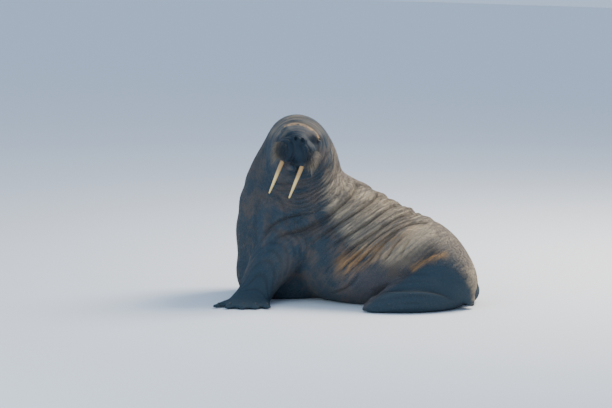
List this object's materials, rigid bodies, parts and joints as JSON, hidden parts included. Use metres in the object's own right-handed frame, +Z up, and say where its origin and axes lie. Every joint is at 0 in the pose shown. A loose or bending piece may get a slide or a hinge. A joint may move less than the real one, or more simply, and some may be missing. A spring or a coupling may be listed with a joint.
{
  "type": "animal figure",
  "caption": "Life-size walrus at rest, body low behind raised fore flippers, head turned to its left, two tusks pointing down.",
  "frame": {"origin": "middle of the bounding box at floor level", "axes": "+Z up from the floor the walrus lies on; +X along the trunk from the shoulders to the tail, -X past the breast; -Y the animal's left, where the head is turned"},
  "size_m": [1.8921, 1.7236, 1.3219],
  "materials": {
    "body_hide": "satin",
    "face_hide": "satin",
    "flipper_hide": "satin",
    "tusk_ivory": "satin",
    "eye_gloss": "glossy"
  },
  "bodies": {
    "root": {"head": "face_hide", "muzzle": "face_hide", "lower_jaw": "face_hide", "neck": "body_hide", "breast": "body_hide", "belly": "body_hide", "haunches": "body_hide", "tail": "body_hide", "fore_flipper_left": "flipper_hide", "fore_flipper_right": "flipper_hide", "hind_flipper_left": "flipper_hide", "hind_flipper_right": "flipper_hide", "eye_left": "eye_gloss", "eye_right": "eye_gloss", "tusk_left": "tusk_ivory", "tusk_right": "tusk_ivory"}
  },
  "joints": []
}
